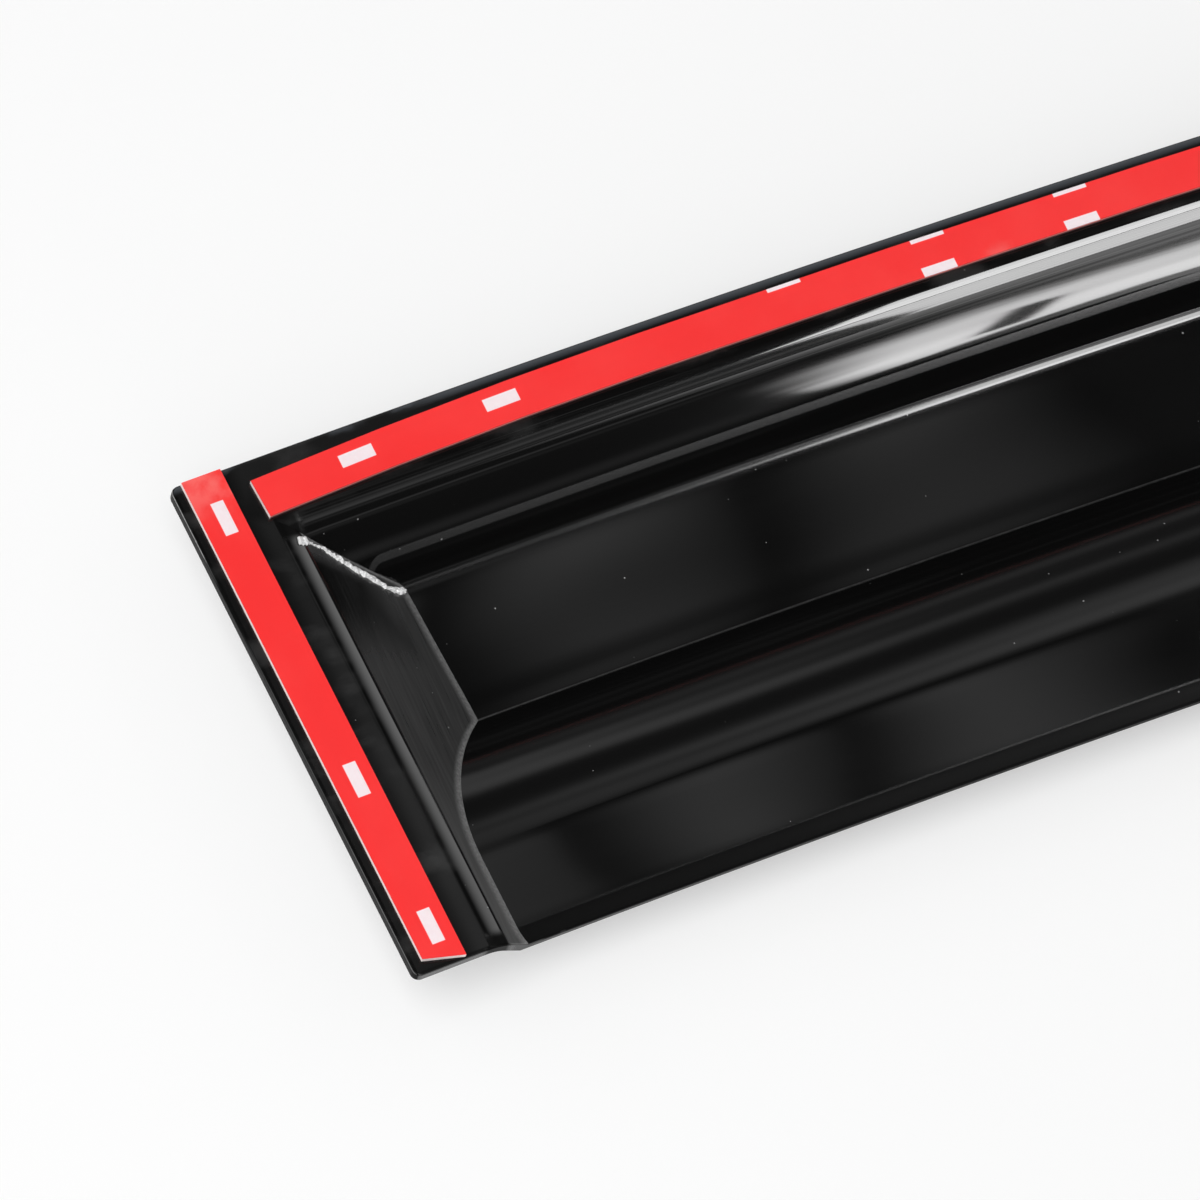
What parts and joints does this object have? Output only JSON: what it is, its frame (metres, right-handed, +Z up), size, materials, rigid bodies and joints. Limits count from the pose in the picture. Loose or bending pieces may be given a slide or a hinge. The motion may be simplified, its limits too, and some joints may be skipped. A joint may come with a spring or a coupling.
{
  "type": "window rain deflector",
  "caption": "Long arched side-window rain deflector of glossy moulded plastic, a channel-section visor with closed ends and red-lined foam tape on its flange.",
  "frame": {"origin": "on the surface the visor lies on, under the middle of its bounding box", "axes": "+X along the length, away from the pictured end; +Y towards the arched upper edge; +Z up, out of the taped side of the flange"},
  "size_m": [0.7198, 0.1112, 0.0195],
  "materials": {
    "visor_plastic": "polished black moulding",
    "tape_foam": "pale closed-cell foam",
    "tape_liner": "red peel-off film"
  },
  "bodies": {
    "root": {"visor_body": "visor_plastic", "top_tape_foam": "tape_foam", "top_tape_liner": "tape_liner", "left_end_tape_foam": "tape_foam", "left_end_tape_liner": "tape_liner", "right_end_tape_foam": "tape_foam", "right_end_tape_liner": "tape_liner"}
  },
  "joints": []
}
